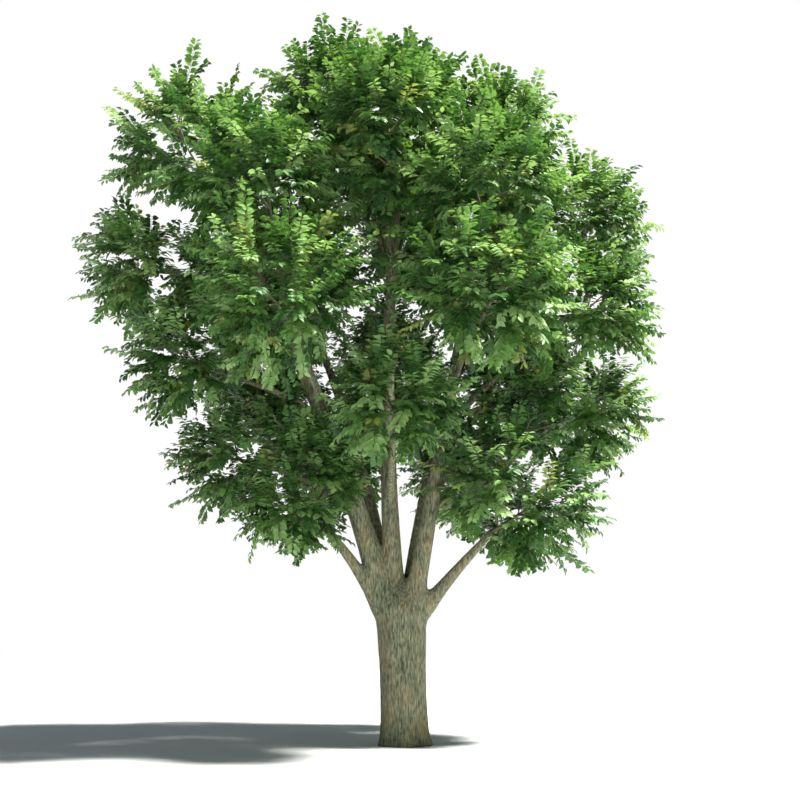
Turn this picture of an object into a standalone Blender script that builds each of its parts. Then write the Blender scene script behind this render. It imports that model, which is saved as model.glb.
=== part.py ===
"""Chinese ash: a broad tree of 12 m, whose short trunk forks into seven stems under a full, lobed crown.

Metres, +Z up. The origin is the middle of the flat cut under the trunk, and -Y is the side that
the photograph shows. The tree is a trunk, boughs and side limbs, and masses of foliage. Each mass
fills a ball at the end of its own limb, and keeps to its side of the planes between the balls.
"""

import math

import bmesh
import bpy
import numpy as np
from mathutils.bvhtree import BVHTree

# The clear gap between two pieces that meet.
GAP = 0.0003

# Trunk: its foot on the ground, its waist, and how far its middle has moved over at the fork.
TRUNK_TOP = 2.05
FOOT_RADIUS = 0.415
WAIST_RADIUS = 0.35
FLARE_HEIGHT = 0.22
TRUNK_SHIFT = np.array((-0.06, 0.0))
TRUNK_SIDES = 18
TRUNK_RINGS = 9
ROOT_LOBES = 5
ROOT_SWELL = 0.07
ROOT_TURN = 0.8
# The rings are closer together near the ground, and the last one is narrowed into the fork.
RING_CROWDING = 1.5
FORK_SHARE = 0.6

# Stems that rise from the trunk: azimuth from +X and lean from upright at the foot in degrees, how
# far the stem holds that line, its radius at foot and tip, and how far its foot is from the axis.
STEM_FOOT_HEIGHT = 1.75
STEMS = {
    "top": (185, 5, 4.2, 0.175, 0.045, 0.05),
    "upper_left": (190, 15, 3.6, 0.21, 0.05, 0.14),
    "skirt_left": (196, 27, 1.05, 0.15, 0.05, 0.17),
    "top_right": (-28, 12, 3.3, 0.16, 0.045, 0.15),
    "skirt_right": (-8, 38, 1.0, 0.15, 0.05, 0.15),
    "upper_back_right": (62, 12, 3.0, 0.14, 0.045, 0.17),
    "upper_back_left": (128, 14, 3.0, 0.14, 0.045, 0.16),
}
STEM_SIDES = 7
STEM_RINGS = 9
STEM_FOOT_RINGS = 5
# How far two stems are apart where each starts to be a bough of its own.
PARTING = 0.03

# Side limbs: the stem that carries each, and the fraction of its length where the limb leaves it.
SIDE_LIMBS = {
    "top_left": ("top", 0.70),
    "top_front": ("top", 0.62),
    "top_back": ("top", 0.66),
    "low_front": ("top", 0.24),
    "upper_front_left": ("upper_left", 0.66),
    "left": ("upper_left", 0.72),
    "left_lower": ("upper_left", 0.46),
    "front_left": ("upper_left", 0.40),
    "low_left": ("upper_left", 0.25),
    "upper_front_right": ("top_right", 0.60),
    "upper_right": ("top_right", 0.66),
    "right": ("top_right", 0.44),
    "front_right": ("top_right", 0.50),
    "low_right": ("top_right", 0.32),
    "back_right": ("upper_back_right", 0.50),
    "low_back_right": ("upper_back_right", 0.26),
    "back": ("upper_back_right", 0.40),
    "back_left": ("upper_back_left", 0.48),
    "low_back_left": ("upper_back_left", 0.27),
}
# A side limb's root as a share of its stem there, the least that the root is thicker than the tip,
# how far along it holds its first line, and how much that line rises above the straight way.
LIMB_ROOT_SHARE = 0.62
LIMB_LEAST_TAPER = 1.2
LIMB_TIP_RADIUS = 0.032
LIMB_HOLD = 0.42
LIMB_RISE = 0.35
LIMB_SIDES = 5
LIMB_RINGS = 5
# A limb thins faster near its root.
TAPER_POWER = 0.8

# Masses of foliage: the middle of each one's ball to the right, to the back and up, and its reach.
MASSES = {
    "top": (0.1, -0.3, 10.3, 1.35),
    "top_left": (-1.15, 0.3, 10.69, 1.45),
    "top_right": (1.55, 0.3, 10.1, 1.38),
    "top_front": (-0.3, -2.1, 9.2, 1.35),
    "top_back": (0.1, 2.1, 9.5, 1.40),
    "upper_left": (-3.6, -0.3, 9.6, 1.60),
    "upper_right": (2.95, 0.2, 8.45, 1.42),
    "upper_front_left": (-2.0, -2.4, 8.1, 1.38),
    "upper_front_right": (1.2, -2.5, 8.0, 1.40),
    "upper_back_left": (-2.2, 2.2, 8.4, 1.42),
    "upper_back_right": (1.7, 2.5, 8.1, 1.40),
    "left": (-4.2, 0.3, 7.85, 1.45),
    "right": (2.95, -0.5, 6.8, 1.36),
    "front_left": (-1.8, -2.85, 6.4, 1.38),
    "front_right": (1.2, -3.0, 6.3, 1.36),
    "back_left": (-2.7, 2.5, 6.4, 1.38),
    "back": (-0.3, 3.2, 6.8, 1.40),
    "back_right": (2.4, 2.5, 6.2, 1.38),
    "left_lower": (-3.4, -0.4, 6.0, 1.32),
    "low_left": (-2.7, 0.3, 4.65, 1.35),
    "low_right": (2.85, 0.4, 5.35, 1.42),
    "low_front": (-0.1, -2.3, 4.9, 1.15),
    "low_back_left": (-1.3, 2.6, 4.8, 1.30),
    "low_back_right": (1.2, 2.6, 4.5, 1.28),
    "skirt_left": (-1.7, -0.6, 3.75, 1.12),
    "skirt_right": (1.95, -0.2, 3.80, 1.45),
}
CROWN_MIDDLE = np.array((-0.3, 0.0, 6.5))
# A limb ends this share of the reach from the ball's middle, or this far inside the first wall.
LIMB_END_SHARE = 0.58
LIMB_END_INSIDE = 0.06
# How far twigs and leaves keep from their walls, leaves from limbs, and shoots' ends from each.
WALL_MARGIN = 0.012
LIMB_CLEARANCE = 0.05
SHOOT_WALL_MARGIN = 0.05
SHOOT_LIMB_CLEARANCE = 0.15

# Shoots of a mass, which end on its outer side: how far inwards they may end, as a share of reach.
SHOOTS = 10
SHOOT_TRIES = 3000
LEAST_TRY = 0.1
INNER_SHARE = 0.5
# Twigs: where the way to its shoots a twig forks, its radius for one shoot, and its joints' shares.
FORK_AT = 0.36
TWIG_RADIUS = 0.014
TWIG_TIP_SHARE = 0.6
TWIG_FOOT_SHARE = 0.95
SIDE_TWIG_SHARE = 0.85
SIDE_TWIG_SUNK = 0.3
TWIG_SIDES = 3

# Leaves: each stands for a spray, and the longest of these that fits is used.
LEAF_LENGTHS = (1.15, 0.96, 0.80, 0.66)
LEAF_ASPECT = 0.6
LEAF_THICK = 0.03
LEAF_WIDEST = 0.42
LEAF_FACING = 2.0
LEAF_SAG = np.array((0, 0, -0.25))
LEAF_ROOT_SUNK = 0.3
LEAF_FACES = ((0, 2, 1), (0, 1, 3), (0, 3, 2), (4, 1, 2), (4, 3, 1), (4, 2, 3))
LEAF_EDGES = ((0, 4), (0, 2), (0, 3), (2, 4), (3, 4), (2, 3))
EDGE_SAMPLES = 7
# The leaf that ends a shoot: its most as a share of the shoot, and where a shoot with none ends.
END_LEAF_SHARE = 0.85
BARE_END_SHARE = 0.6
# Pairs behind it: how far apart they are, the furthest back as a share of the shoot, how far their
# leaves turn out from it, and how far they roll down or up about it.
PAIR_BACK = 0.22
SECOND_PAIR_LENGTH = 1.6 * PAIR_BACK
LAST_PAIR_SHARE = 0.85
PAIR_ANGLE = math.radians(66)
PAIR_ROLL = (-0.3, 0.9)
SEED = 7

BARK = (0.20, 0.16, 0.115, 1)
LEAF_GREENS = ((0.075, 0.17, 0.03, 1), (0.055, 0.135, 0.03, 1), (0.095, 0.20, 0.035, 1))
BARK_ROUGHNESS = 0.9
LEAF_ROUGHNESS = 0.6

# Directions that no limb and no shoot runs along, to measure their sides from.
SIDEWAYS = np.array((0.31, 0.95, 0.07))
UPWARD = np.array((0.02, 0.01, 1))


def unit(vector):
    return vector / np.linalg.norm(vector)


def polar(azimuth, lean):
    """The direction that leans this far from upright towards this azimuth, both in degrees."""
    a, b = math.radians(azimuth), math.radians(lean)
    return np.array((math.sin(b) * math.cos(a), math.sin(b) * math.sin(a), math.cos(b)))


class Bow:
    """A limb's line: it leaves start along heading, holds that for a while, and bends to end."""

    def __init__(self, start, heading, hold, end, root, tip):
        self.start = start
        self.elbow = start + heading * hold
        self.end = end
        self.root = root
        self.tip = tip

    def at(self, t):
        return (1 - t) ** 2 * self.start + 2 * t * (1 - t) * self.elbow + t**2 * self.end

    def heading(self, t):
        return unit((1 - t) * (self.elbow - self.start) + t * (self.end - self.elbow))

    def radius(self, t):
        return self.root + (self.tip - self.root) * t**TAPER_POWER

    def rings(self, first, last, count):
        """Middles and radii of evenly spaced sections."""
        steps = np.linspace(first, last, count)
        return [self.at(t) for t in steps], [self.radius(t) for t in steps]

    def clear_of(self, points, samples=40):
        """How far each point is from the limb's surface."""
        middles, radii = self.rings(0, 1, samples)
        apart = np.linalg.norm(points[:, None] - np.array(middles)[None], axis=2)
        return (apart - np.array(radii)).min(axis=1)


def ball(name):
    *middle, reach = MASSES[name]
    return np.array(middle), reach


def walls(name):
    """The planes between this mass and its neighbours: unit normals, and distances from the origin."""
    middle, reach = ball(name)
    normals, distances = [], []
    for other in MASSES:
        if other == name:
            continue
        there, their_reach = ball(other)
        apart = np.linalg.norm(there - middle)
        share = (apart**2 + reach**2 - their_reach**2) / (2 * apart)
        if share < reach:
            normals.append((there - middle) / apart)
            distances.append(normals[-1] @ middle + share)
    return np.array(normals), np.array(distances)


def limb_end(name, source):
    """Where a mass's limb ends: on the side of its source, just inside the mass's own space."""
    middle, reach = ball(name)
    normals, distances = walls(name)
    towards = unit(source - middle)
    speed = normals @ towards
    room = distances - normals @ middle
    facing = speed > 0
    depth = LIMB_END_SHARE * reach
    if facing.any():
        depth = min(depth, (room[facing] / speed[facing]).min() - LIMB_END_INSIDE)
    return middle + towards * depth


def stem_lines():
    lines = {}
    for name, (azimuth, lean, hold, root, tip, out) in STEMS.items():
        heading = polar(azimuth, lean)
        start = np.array((*TRUNK_SHIFT, STEM_FOOT_HEIGHT)) + polar(azimuth, 90) * out
        end = limb_end(name, start + heading * hold)
        lines[name] = Bow(start, heading, hold, end, root, tip)
    return lines


def side_lines(stems):
    lines = {}
    for name, (carrier, fraction) in SIDE_LIMBS.items():
        stem = stems[carrier]
        start = stem.at(fraction)
        end = limb_end(name, start)
        heading = unit(unit(end - start) + np.array((0, 0, LIMB_RISE)))
        hold = LIMB_HOLD * np.linalg.norm(end - start)
        root = max(LIMB_ROOT_SHARE * stem.radius(fraction), LIMB_LEAST_TAPER * LIMB_TIP_RADIUS)
        lines[name] = Bow(start, heading, hold, end, root, LIMB_TIP_RADIUS)
    return lines


def skin(rings):
    """A closed mesh over rings of points, with a flat cap at each end, or a point for the last ring."""
    bm = bmesh.new()
    rings = [[bm.verts.new(point) for point in ring] for ring in rings]
    for lower, upper in zip(rings, rings[1:]):
        for i in range(len(lower)):
            j = (i + 1) % len(lower)
            if len(upper) == 1:
                bm.faces.new((lower[i], lower[j], upper[0]))
            else:
                bm.faces.new((lower[i], lower[j], upper[j], upper[i]))
    bm.faces.new(rings[0][::-1])
    if len(rings[-1]) > 1:
        bm.faces.new(rings[-1])
    return bm


def tube_rings(middles, radii, sides, ends=(None, None), across=SIDEWAYS):
    """Rings of a round tube through the middles.

    ends gives the directions that its two caps face, and across one that lies in its last ring.
    """
    tangents = [unit(b - a) for a, b in zip(middles, middles[1:])]
    headings = [tangents[0] if ends[0] is None else ends[0]]
    headings += [unit(a + b) for a, b in zip(tangents, tangents[1:])]
    headings += [tangents[-1] if ends[1] is None else ends[1]]
    turns = [math.pi / 2 + 2 * math.pi * i / sides for i in range(sides)]
    rings = []
    for middle, heading, radius in zip(middles[::-1], headings[::-1], radii[::-1]):
        across = unit(across - heading * (heading @ across))
        other = np.cross(across, heading)
        rings.append([middle + (across * math.cos(a) + other * math.sin(a)) * radius for a in turns])
    return rings[::-1]


def new_object(name, bm, material):
    mesh = bpy.data.meshes.new(name)
    bmesh.ops.recalc_face_normals(bm, faces=bm.faces)
    bm.to_mesh(mesh)
    bm.free()
    mesh.materials.append(material)
    obj = bpy.data.objects.new(name, mesh)
    bpy.context.scene.collection.objects.link(obj)
    return obj


def boolean(obj, operation, solver, cutter=None, group=None):
    """Joins or cuts obj with one object or with a collection, applies that, and removes what it used."""
    modifier = obj.modifiers.new(operation.title(), "BOOLEAN")
    modifier.operation = operation
    modifier.solver = solver
    if group:
        modifier.operand_type = "COLLECTION"
        modifier.collection = group
    else:
        modifier.object = cutter
    bpy.context.view_layer.update()
    graph = bpy.context.evaluated_depsgraph_get()
    result = bpy.data.meshes.new_from_object(obj.evaluated_get(graph))
    obj.modifiers.remove(modifier)
    old = obj.data
    obj.data = result
    bpy.data.meshes.remove(old)
    result.name = obj.name
    for used in list(group.objects) if group else [cutter]:
        bpy.data.meshes.remove(used.data)
    if group:
        bpy.data.collections.remove(group)


def join(obj, others, solver):
    """Fuses the others, all of one material, into obj."""
    group = bpy.data.collections.new("pieces of " + obj.name)
    bpy.context.scene.collection.children.link(group)
    for other in others:
        piece = new_object("piece", other, obj.data.materials[0])
        bpy.context.scene.collection.objects.unlink(piece)
        group.objects.link(piece)
    boolean(obj, "UNION", solver, group=group)
    keep_main_body(obj)


def keep_main_body(obj):
    """Fills the sealed hollows and drops the loose scraps that a Boolean leaves."""
    bm = bmesh.new()
    bm.from_mesh(obj.data)
    left = set(bm.faces)
    bodies = []
    while left:
        todo = [left.pop()]
        body = []
        while todo:
            face = todo.pop()
            body.append(face)
            for edge in face.edges:
                for near in edge.link_faces:
                    if near in left:
                        left.remove(near)
                        todo.append(near)
        bodies.append(body)
    main = max(bodies, key=lambda body: sum(face.calc_area() for face in body))
    extra = [face for body in bodies if body is not main for face in body]
    bmesh.ops.delete(bm, geom=extra, context="FACES")
    bm.to_mesh(obj.data)
    bm.free()


def parting_fraction(name, stems, steps=101):
    """The fraction of a stem's line past which it has parted from the trunk and every other stem."""
    middles, radii = (np.array(values) for values in stems[name].rings(0, 1, steps))
    near = middles[:, 2] - radii < TRUNK_TOP
    for other, line in stems.items():
        if other != name:
            near |= line.clear_of(middles) < radii + PARTING
    return (np.flatnonzero(near).max() + 1) / (steps - 1)


def trunk_ring(share):
    """The trunk's outline at this share of its rings, from the flat cut to the fork."""
    height = TRUNK_TOP * share**RING_CROWDING
    flare = math.exp(-height / FLARE_HEIGHT)
    radius = WAIST_RADIUS + (FOOT_RADIUS - WAIST_RADIUS) * flare
    if share == 1:
        radius *= FORK_SHARE
    ring = []
    for i in range(TRUNK_SIDES):
        turn = 2 * math.pi * i / TRUNK_SIDES
        out = radius * (1 + ROOT_SWELL * flare * math.cos(ROOT_LOBES * turn + ROOT_TURN))
        across = TRUNK_SHIFT * share + out * np.array((math.cos(turn), math.sin(turn)))
        ring.append((*across, height))
    return ring


def make_trunk(stems, partings, material):
    """The trunk from its flat cut to the fork, joined with the foot of each stem."""
    rings = [trunk_ring(i / (TRUNK_RINGS - 1)) for i in range(TRUNK_RINGS)]
    trunk = new_object("trunk", skin(rings), material)
    feet = []
    for name, line in stems.items():
        middles, radii = line.rings(0, partings[name], STEM_FOOT_RINGS)
        ends = line.heading(0), line.heading(partings[name])
        feet.append(skin(tube_rings(middles, radii, STEM_SIDES, ends)))
    join(trunk, feet, "EXACT")
    return trunk


def make_limb(name, line, first, rings, sides, material, swell=0.0):
    """A limb from this fraction of its line to its tip, or a copy of it that is thicker by swell."""
    middles, radii = line.rings(first, 1, rings)
    ends = line.heading(first), line.heading(1)
    if first:
        middles[0] = middles[0] + ends[0] * GAP
    return new_object(name, skin(tube_rings(middles, [r + swell for r in radii], sides, ends)), material)


def make_boughs(stems, partings, material):
    for name, line in stems.items():
        bough = make_limb("bough_" + name, line, partings[name], STEM_RINGS, STEM_SIDES, material)
        bough.data.shade_smooth()


def make_side_limbs(sides, stems, partings, material):
    """Each side limb starts in the middle of its stem's bough, and that bough is cut out of it."""
    for name, line in sides.items():
        limb = make_limb("limb_" + name, line, 0, LIMB_RINGS, LIMB_SIDES, material)
        carrier = SIDE_LIMBS[name][0]
        swell = 1.5 * GAP
        bough = stems[carrier], partings[carrier], STEM_RINGS, STEM_SIDES
        cutter = make_limb("cutter", *bough, material, swell)
        boolean(limb, "DIFFERENCE", "EXACT", cutter=cutter)
        keep_main_body(limb)
        limb.data.shade_smooth()


class Space:
    """The room that one mass keeps to: its ball, its side of each wall, and clear of every limb."""

    def __init__(self, name, limbs):
        self.middle, self.reach = ball(name)
        self.normals, self.distances = walls(name)
        self.limbs = [line for line in limbs if line.clear_of(self.middle[None])[0] < self.reach]

    def holds(self, points, margin=WALL_MARGIN):
        inside = np.linalg.norm(points - self.middle, axis=1) < self.reach - margin
        return inside & (points @ self.normals.T < self.distances - margin).all(axis=1)

    def clear(self, points, margin=LIMB_CLEARANCE):
        found = np.ones(len(points), bool)
        for line in self.limbs:
            found &= line.clear_of(points) > margin
        return found


def shoot_ends(space, foot, rng):
    """Points in the space's outer side, each as far as it can be from the foot and from the rest."""
    ways = rng.normal(size=(SHOOT_TRIES, 3))
    ways /= np.linalg.norm(ways, axis=1)[:, None]
    depths = rng.uniform(LEAST_TRY, 1, (SHOOT_TRIES, 1)) ** (1 / 3)
    tries = space.middle + ways * depths * space.reach
    tries = tries[space.holds(tries, SHOOT_WALL_MARGIN) & space.clear(tries, SHOOT_LIMB_CLEARANCE)]
    outwards = np.linalg.norm(tries - CROWN_MIDDLE, axis=1)
    outer = outwards > np.linalg.norm(space.middle - CROWN_MIDDLE) - INNER_SHARE * space.reach
    tries, outwards = tries[outer], outwards[outer]
    nearest = np.linalg.norm(tries - foot, axis=1)
    chosen = [outwards.argmax()]
    while len(chosen) < SHOOTS:
        nearest = np.minimum(nearest, np.linalg.norm(tries - tries[chosen[-1]], axis=1))
        chosen.append(nearest.argmax())
    return tries[chosen]


def parted(ends):
    """The ends in two halves, across the way that they spread the most."""
    offsets = ends - ends.mean(axis=0)
    longest = np.linalg.svd(offsets, full_matrices=False)[2][0]
    order = np.argsort(offsets @ longest)
    half = len(order) // 2
    return ends[order[:half]], ends[order[half:]]


def branch(axis, heading, ends, found):
    """Carries an axis, a list of (point, radius), on to its ends. Each fork starts one more axis."""
    if len(ends) == 1:
        found.append((axis, ends[0]))
        return
    start = axis[-1][0]
    away = ends.mean(axis=0) - start
    fork = start + (away + heading * np.linalg.norm(away)) * FORK_AT / 2
    axis.append((fork, TWIG_RADIUS * math.sqrt(len(ends))))
    halves = parted(ends)
    turns = [unit(half.mean(axis=0) - fork) for half in halves]
    heading = unit(fork - start)
    on = int(turns[1] @ heading > turns[0] @ heading)
    off = 1 - on
    branch(axis, heading, halves[on], found)
    root = TWIG_RADIUS * math.sqrt(len(halves[off])) * SIDE_TWIG_SHARE
    side_axis = [(fork - turns[off] * root * SIDE_TWIG_SUNK, root)]
    branch(side_axis, turns[off], halves[off], found)


def leaf_corners(root, heading, face, length):
    """A leaf's root, then the three corners where it is widest (rib, edge, edge), then its tip."""
    across = unit(np.cross(heading, face))
    rib = np.cross(across, heading) * length * LEAF_THICK
    widest = root + heading * length * LEAF_WIDEST
    half = across * length * LEAF_ASPECT / 2
    return np.array((root, widest + rib, widest - half, widest + half, root + heading * length))


def leaf_mesh(corners):
    bm = bmesh.new()
    verts = [bm.verts.new(corner) for corner in corners]
    for face in LEAF_FACES:
        bm.faces.new([verts[k] for k in face])
    return bm


def leaf_samples(corners):
    """Points along a leaf's edges and rib, to tell how near it comes to a limb."""
    steps = np.linspace(0, 1, EDGE_SAMPLES)[:, None]
    return np.concatenate([corners[a] + (corners[b] - corners[a]) * steps for a, b in LEAF_EDGES])


def fits(space, corners, hurdles):
    """Whether a leaf stays in the space and crosses none of the hurdles. It becomes one if so."""
    if not (space.holds(corners).all() and space.clear(leaf_samples(corners)).all()):
        return False
    tree = BVHTree.FromPolygons(corners.tolist(), LEAF_FACES)
    if any(tree.overlap(hurdle) for hurdle in hurdles):
        return False
    hurdles.append(tree)
    return True


def end_leaf(space, start, tip, hurdles):
    """The longest leaf that ends a shoot at this tip, or None where none fits."""
    shoot = np.linalg.norm(tip - start)
    heading = (tip - start) / shoot
    face = np.cross(np.cross(heading, UPWARD), heading)
    for length in LEAF_LENGTHS:
        corners = leaf_corners(tip - heading * length, heading, face, length)
        if length < END_LEAF_SHARE * shoot and fits(space, corners, hurdles):
            return corners
    return None


def pair_leaf(space, root, heading, face, hurdles):
    """The longest leaf that fits on the side of a shoot, or None."""
    for length in LEAF_LENGTHS:
        corners = leaf_corners(root, heading, face, length)
        if fits(space, corners, hurdles):
            return corners
    return None


def leaf_pairs(start, end, outward, rng):
    """Roots, headings and faces of the leaves in pairs along a shoot."""
    length = np.linalg.norm(end - start)
    heading = (end - start) / length
    side = unit(np.cross(heading, UPWARD))
    lift = np.cross(side, heading)
    leaves = []
    for i in range(1 + int(length > SECOND_PAIR_LENGTH)):
        pair = end - heading * min((i + 1) * PAIR_BACK, LAST_PAIR_SHARE * length)
        for way in (-1, 1):
            roll = rng.uniform(*PAIR_ROLL)
            aside = side * way * math.cos(roll) + lift * math.sin(roll)
            out = heading * math.cos(PAIR_ANGLE) + aside * math.sin(PAIR_ANGLE)
            root = pair + aside * TWIG_RADIUS * LEAF_ROOT_SUNK
            leaves.append((root, unit(out + LEAF_SAG), outward * LEAF_FACING + lift))
    return leaves


def make_mass(name, line, limbs, material, rng):
    """One mass of foliage: a stem that meets its limb's tip, its twigs, and the leaves on them."""
    space = Space(name, limbs)
    heading = line.heading(1)
    foot = line.end + heading * GAP
    axes = []
    branch([(foot, line.tip * TWIG_FOOT_SHARE)], heading, shoot_ends(space, foot, rng), axes)

    pieces, twigs, leaves, shoots = [], [], [], []
    for i, (axis, tip) in enumerate(axes):
        start = axis[-1][0]
        corners = end_leaf(space, start, tip, leaves)
        end = start + (tip - start) * BARE_END_SHARE if corners is None else corners[0]
        across = SIDEWAYS if corners is None else corners[3] - corners[2]
        shoots.append((start, end))
        axis.append((end, TWIG_RADIUS * TWIG_TIP_SHARE))
        first = heading if i == 0 else None
        rings = tube_rings(*zip(*axis), TWIG_SIDES, (first, None), across)
        twig = skin(rings)
        twigs.append(BVHTree.FromBMesh(twig))
        twig.free()
        pieces.append(skin(rings if corners is None else rings + [corners[1:4], corners[4:]]))
    for i, (start, end) in enumerate(shoots):
        hurdles = twigs[:i] + twigs[i + 1 :] + leaves
        known = len(hurdles)
        for root, way, face in leaf_pairs(start, end, unit(end - space.middle), rng):
            corners = pair_leaf(space, root, way, face, hurdles)
            if corners is not None:
                pieces.append(leaf_mesh(corners))
        leaves += hurdles[known:]
    mass = new_object("foliage_" + name, pieces[0], material)
    join(mass, pieces[1:], "MANIFOLD")


def plain_material(name, color, roughness):
    material = bpy.data.materials.new(name)
    material.use_nodes = True
    shader = material.node_tree.nodes["Principled BSDF"]
    shader.inputs["Base Color"].default_value = color
    shader.inputs["Roughness"].default_value = roughness
    shader.inputs["Metallic"].default_value = 0
    material.diffuse_color = color
    return material


def build():
    for obj in list(bpy.data.objects):
        bpy.data.objects.remove(obj)
    bark = plain_material("bark", BARK, BARK_ROUGHNESS)
    greens = [plain_material(f"leaves_{i}", color, LEAF_ROUGHNESS) for i, color in enumerate(LEAF_GREENS)]

    stems = stem_lines()
    sides = side_lines(stems)
    partings = {name: parting_fraction(name, stems) for name in stems}
    make_trunk(stems, partings, bark)
    make_boughs(stems, partings, bark)
    make_side_limbs(sides, stems, partings, bark)

    lines = {**stems, **sides}
    rng = np.random.default_rng(SEED)
    for i, name in enumerate(MASSES):
        make_mass(name, lines[name], lines.values(), greens[i % len(greens)], rng)


build()
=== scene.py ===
"""Chinese ash: its bark, twigs and leaves, grown by the same rule as the solids that they replace.

Metres, +Z up, and -Y is the side that the photograph shows.
"""

import math

import bpy
import numpy as np
from mathutils import Matrix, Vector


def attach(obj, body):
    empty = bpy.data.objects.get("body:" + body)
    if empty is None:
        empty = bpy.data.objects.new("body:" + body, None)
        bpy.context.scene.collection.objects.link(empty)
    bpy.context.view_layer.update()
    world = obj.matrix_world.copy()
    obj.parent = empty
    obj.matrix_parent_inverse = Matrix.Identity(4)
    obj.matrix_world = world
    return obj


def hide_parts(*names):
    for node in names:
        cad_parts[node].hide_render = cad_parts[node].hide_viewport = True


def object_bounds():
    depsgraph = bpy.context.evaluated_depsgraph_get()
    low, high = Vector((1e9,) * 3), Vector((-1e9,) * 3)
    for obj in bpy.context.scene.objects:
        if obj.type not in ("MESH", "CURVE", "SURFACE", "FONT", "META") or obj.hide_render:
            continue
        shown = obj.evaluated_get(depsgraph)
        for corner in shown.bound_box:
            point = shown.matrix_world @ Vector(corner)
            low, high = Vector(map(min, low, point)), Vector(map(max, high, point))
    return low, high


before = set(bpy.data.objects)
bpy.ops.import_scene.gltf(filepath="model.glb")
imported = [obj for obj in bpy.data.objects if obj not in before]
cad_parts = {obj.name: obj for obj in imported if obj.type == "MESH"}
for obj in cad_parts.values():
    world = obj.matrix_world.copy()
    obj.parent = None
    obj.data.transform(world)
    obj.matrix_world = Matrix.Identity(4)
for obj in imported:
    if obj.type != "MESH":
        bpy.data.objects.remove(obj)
CAD_BOX = [list(corner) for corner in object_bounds()]

# Camera of the photograph.
CAMERA_AT = (-0.071, -17.6, 1.5)
CAMERA_PITCH = math.radians(12.4)
LENS = 50

# Trunk.
TRUNK_TOP = 2.05
FOOT_RADIUS = 0.415
WAIST_RADIUS = 0.35
FLARE_HEIGHT = 0.22
TRUNK_SHIFT = np.array((-0.06, 0.0))
ROOT_LOBES = 5
ROOT_SWELL = 0.07
ROOT_TURN = 0.8

# Stems: azimuth and lean in degrees, hold, radius at foot and tip, and how far out the foot is.
STEM_FOOT_HEIGHT = 1.75
STEMS = {
    "top": (185, 5, 4.2, 0.175, 0.045, 0.05),
    "upper_left": (190, 15, 3.6, 0.21, 0.05, 0.14),
    "skirt_left": (196, 27, 1.05, 0.15, 0.05, 0.17),
    "top_right": (-28, 12, 3.3, 0.16, 0.045, 0.15),
    "skirt_right": (-8, 38, 1.0, 0.15, 0.05, 0.15),
    "upper_back_right": (62, 12, 3.0, 0.14, 0.045, 0.17),
    "upper_back_left": (128, 14, 3.0, 0.14, 0.045, 0.16),
}

# Side limbs: the stem that carries each, and the fraction of its length where the limb leaves it.
SIDE_LIMBS = {
    "top_left": ("top", 0.70),
    "top_front": ("top", 0.62),
    "top_back": ("top", 0.66),
    "low_front": ("top", 0.24),
    "upper_front_left": ("upper_left", 0.66),
    "left": ("upper_left", 0.72),
    "left_lower": ("upper_left", 0.46),
    "front_left": ("upper_left", 0.40),
    "low_left": ("upper_left", 0.25),
    "upper_front_right": ("top_right", 0.60),
    "upper_right": ("top_right", 0.66),
    "right": ("top_right", 0.44),
    "front_right": ("top_right", 0.50),
    "low_right": ("top_right", 0.32),
    "back_right": ("upper_back_right", 0.50),
    "low_back_right": ("upper_back_right", 0.26),
    "back": ("upper_back_right", 0.40),
    "back_left": ("upper_back_left", 0.48),
    "low_back_left": ("upper_back_left", 0.27),
}
LIMB_ROOT_SHARE = 0.62
LIMB_LEAST_TAPER = 1.2
LIMB_TIP_RADIUS = 0.032
LIMB_HOLD = 0.42
LIMB_RISE = 0.35
TAPER_POWER = 0.8

# Masses of foliage: the middle of each one's ball to the right, to the back and up, and its reach.
MASSES = {
    "top": (0.1, -0.3, 10.3, 1.35),
    "top_left": (-1.15, 0.3, 10.69, 1.45),
    "top_right": (1.55, 0.3, 10.1, 1.38),
    "top_front": (-0.3, -2.1, 9.2, 1.35),
    "top_back": (0.1, 2.1, 9.5, 1.40),
    "upper_left": (-3.6, -0.3, 9.6, 1.60),
    "upper_right": (2.95, 0.2, 8.45, 1.42),
    "upper_front_left": (-2.0, -2.4, 8.1, 1.38),
    "upper_front_right": (1.2, -2.5, 8.0, 1.40),
    "upper_back_left": (-2.2, 2.2, 8.4, 1.42),
    "upper_back_right": (1.7, 2.5, 8.1, 1.40),
    "left": (-4.2, 0.3, 7.85, 1.45),
    "right": (2.95, -0.5, 6.8, 1.36),
    "front_left": (-1.8, -2.85, 6.4, 1.38),
    "front_right": (1.2, -3.0, 6.3, 1.36),
    "back_left": (-2.7, 2.5, 6.4, 1.38),
    "back": (-0.3, 3.2, 6.8, 1.40),
    "back_right": (2.4, 2.5, 6.2, 1.38),
    "left_lower": (-3.4, -0.4, 6.0, 1.32),
    "low_left": (-2.7, 0.3, 4.65, 1.35),
    "low_right": (2.85, 0.4, 5.35, 1.42),
    "low_front": (-0.1, -2.3, 4.9, 1.15),
    "low_back_left": (-1.3, 2.6, 4.8, 1.30),
    "low_back_right": (1.2, 2.6, 4.5, 1.28),
    "skirt_left": (-1.7, -0.6, 3.75, 1.12),
    "skirt_right": (1.95, -0.2, 3.80, 1.45),
}
CROWN_MIDDLE = np.array((-0.3, 0.0, 6.5))
LIMB_END_SHARE = 0.58
LIMB_END_INSIDE = 0.06

# Shoots of a mass. They keep to its outer side, in its ball and in a room that is drawn out from the
# ball towards the crown's middle.
SHOOTS = 290
SHOOT_TRIES = 5000
SHOOT_LEAST_DEPTH = 0.1
SHOOT_WALL_MARGIN = 0.05
SHOOT_LIMB_CLEARANCE = 0.10
INNER_SHARE = 1.15
INWARD_REACH = 0.38

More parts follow.
